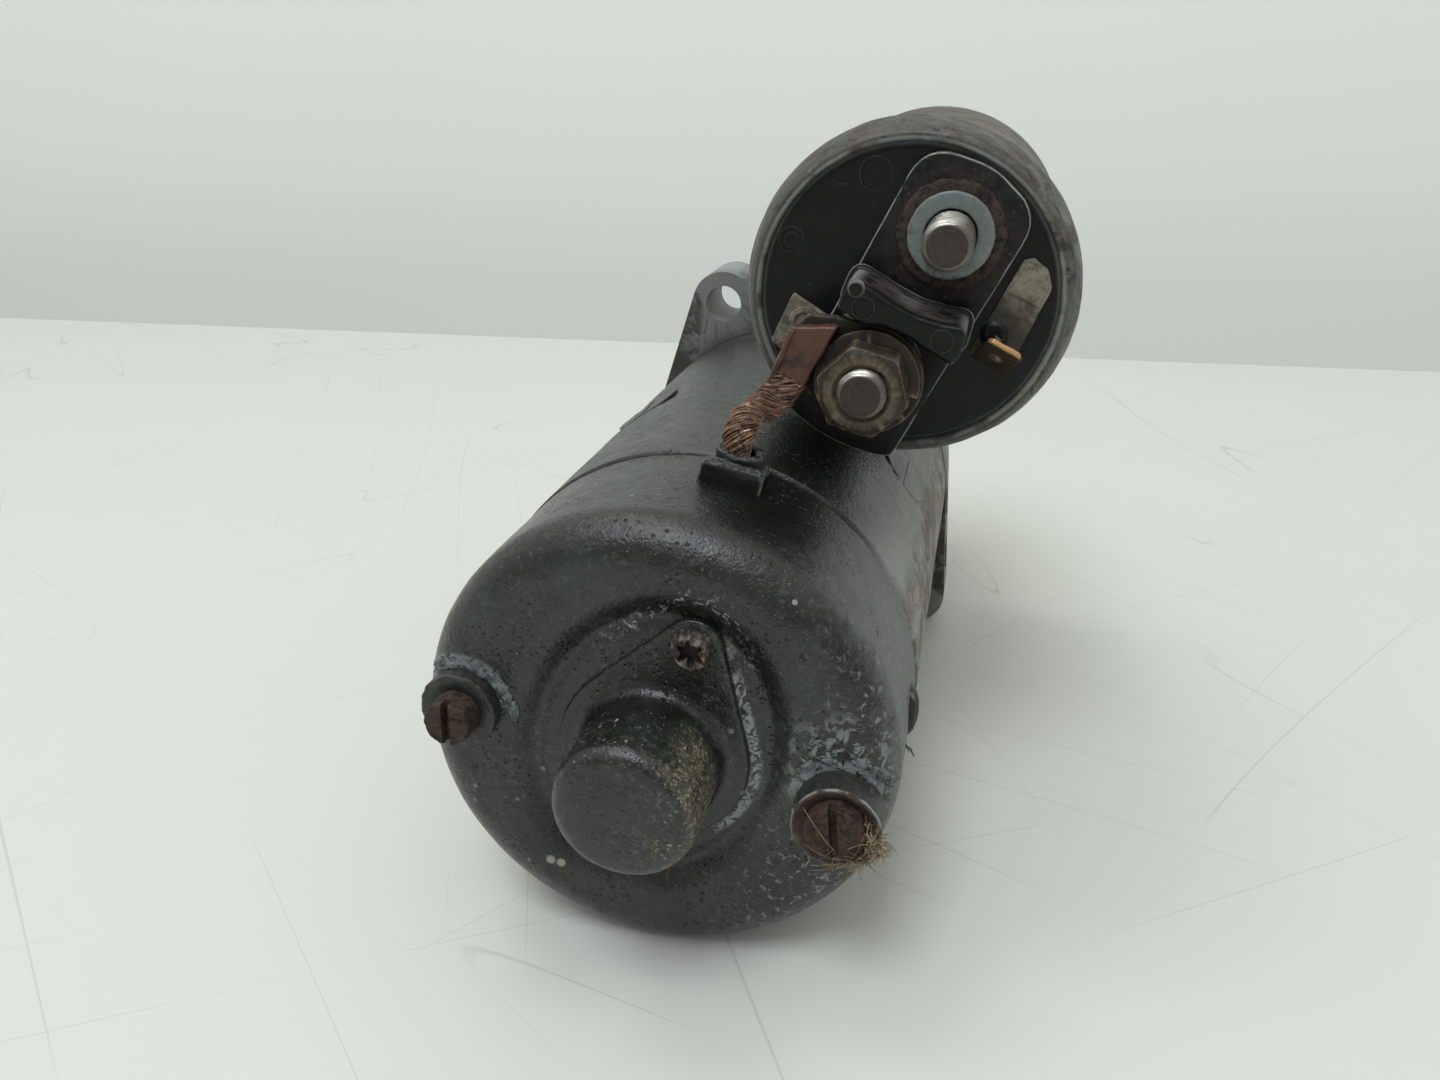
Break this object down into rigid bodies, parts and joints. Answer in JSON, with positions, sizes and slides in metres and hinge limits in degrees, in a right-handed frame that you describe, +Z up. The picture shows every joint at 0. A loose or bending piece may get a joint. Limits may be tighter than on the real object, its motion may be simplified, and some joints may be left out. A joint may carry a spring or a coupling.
{
  "type": "starter motor",
  "caption": "Pre-engaged starter motor: round motor with a domed end cap, solenoid above it, shift lever, one-way clutch and pinion in a closed nose.",
  "frame": {"origin": "on the armature axis, in the plane of the mounting face, where the pilot begins", "axes": "+Y along the armature axis towards the pinion and nose, +Z up as the starter lies on a bench, with the solenoid leaning 27.7 degrees from +Z towards +X"},
  "size_m": [0.1018, 0.2145, 0.1322],
  "materials": {
    "end_cap_paint": "satin black paint, pitted",
    "yoke_paint": "satin black paint over rolled steel, rusted on one side",
    "bearing_cap_paint": "satin black paint with dust",
    "rusty_screw": "rusted steel",
    "washer_steel": "blackened steel, rust at the edges",
    "bronze": "sintered bronze",
    "cast_alloy": "raw die-cast, grey with grime",
    "black_rubber": "matt, gritty",
    "copper_braid": "tarnished copper",
    "phenolic": "black moulded phenolic",
    "can_steel": "weathered steel, brown-grey",
    "stud_steel": "dull steel, bright on the thread",
    "seat_rust": "rust",
    "zinc": "greenish zinc",
    "old_brass": "tarnished brass with grime",
    "tin_tab": "tinned brass, beige",
    "machined_steel": "turned steel, oiled",
    "hardened_steel": "ground steel",
    "laminated_iron": "stacked laminations",
    "pole_iron": "grey iron",
    "copper_winding": "varnished copper",
    "coil_tape": "varnished tape",
    "commutator_copper": "turned copper",
    "carbon": "pressed carbon",
    "plated_sheet": "zinc-plated sheet",
    "spring_steel": "spring wire",
    "lever_steel": "phosphated pressing",
    "bobbin_plastic": "natural nylon"
  },
  "bodies": {
    "root": {"bearing_cap_screws": "rusty_screw", "bracket_nose": "cast_alloy", "bracket_seal": "black_rubber", "brush_holders": "plated_sheet", "brush_plate": "plated_sheet", "brush_springs": "spring_steel", "brushes": "carbon", "coil_end_plate": "tin_tab", "drain_plug": "black_rubber", "drive_end_bracket": "cast_alloy", "field_coil_1": "coil_tape", "field_coil_2": "coil_tape", "field_coil_3": "coil_tape", "field_coil_4": "coil_tape", "field_lead": "copper_braid", "lead_grommet": "black_rubber", "lever_pivot_pin": "machined_steel", "nose_bush": "bronze", "pole_screws": "yoke_paint", "pole_shoe_1": "pole_iron", "pole_shoe_2": "pole_iron", "pole_shoe_3": "pole_iron", "pole_shoe_4": "pole_iron", "rear_bearing_cap": "bearing_cap_paint", "rear_bush": "bronze", "rear_end_cap": "end_cap_paint", "solenoid_bobbin": "bobbin_plastic", "solenoid_cap": "phenolic", "solenoid_core": "pole_iron", "solenoid_housing": "can_steel", "solenoid_screws": "plated_sheet", "solenoid_winding": "copper_winding", "terminal_30_seat": "seat_rust", "terminal_30_stud": "stud_steel", "terminal_30_washer": "zinc", "terminal_45_lug": "old_brass", "terminal_45_nut": "old_brass", "terminal_45_stud": "stud_steel", "terminal_45_washer": "stud_steel", "terminal_50_tab": "tin_tab", "through_bolt_washers": "washer_steel", "through_bolts": "rusty_screw", "yoke": "yoke_paint"},
    "armature": {"armature_shaft": "machined_steel", "shaft_clip": "spring_steel", "armature_core": "laminated_iron", "armature_windings": "copper_winding", "commutator": "commutator_copper", "stop_ring": "machined_steel"},
    "drive_clutch": {"drive_sleeve": "machined_steel", "engagement_spring": "spring_steel", "clutch_housing": "machined_steel", "clutch_rollers": "hardened_steel"},
    "pinion": {"pinion": "hardened_steel"},
    "plunger": {"solenoid_plunger": "machined_steel", "plunger_return_spring": "spring_steel"},
    "shift_lever": {"shift_lever": "lever_steel"},
    "moving_contact": {"moving_contact": "commutator_copper"}
  },
  "joints": [
    {"name": "armature_spin", "type": "hinge", "parent": "root", "child": "armature", "pos_m": [0, 0, 0], "axis": [0, 1, 0], "continuous": true},
    {"name": "drive_slide", "type": "slide", "parent": "armature", "child": "drive_clutch", "axis": [0, 1, 0], "range_m": [0, 0.01293]},
    {"name": "pinion_overrun", "type": "hinge", "parent": "drive_clutch", "child": "pinion", "pos_m": [0, 0, 0], "axis": [0, 1, 0], "continuous": true},
    {"name": "plunger_slide", "type": "slide", "parent": "root", "child": "plunger", "axis": [0, -1, 0], "range_m": [0, 0.01046], "stiffness_N_per_m": 1500, "springref_m": -0.02, "deforming": ["plunger_return_spring"]},
    {"name": "shift_lever_swing", "type": "hinge", "parent": "root", "child": "shift_lever", "pos_m": [0.01859, -0.0135, 0.03542], "axis": [0.8854, 0, -0.4648], "range_deg": [0, 18.62]},
    {"name": "contact_slide", "type": "slide", "parent": "root", "child": "moving_contact", "axis": [0, -1, 0], "range_m": [0, 0.00252]}
  ],
  "couplings": [
    {"joint": "drive_slide", "follows": "plunger_slide", "ratio": 1.2346},
    {"joint": "shift_lever_swing", "follows": "plunger_slide", "rad_per_m": 31.052},
    {"joint": "contact_slide", "follows": "plunger_slide", "ratio": 0.23913}
  ]
}
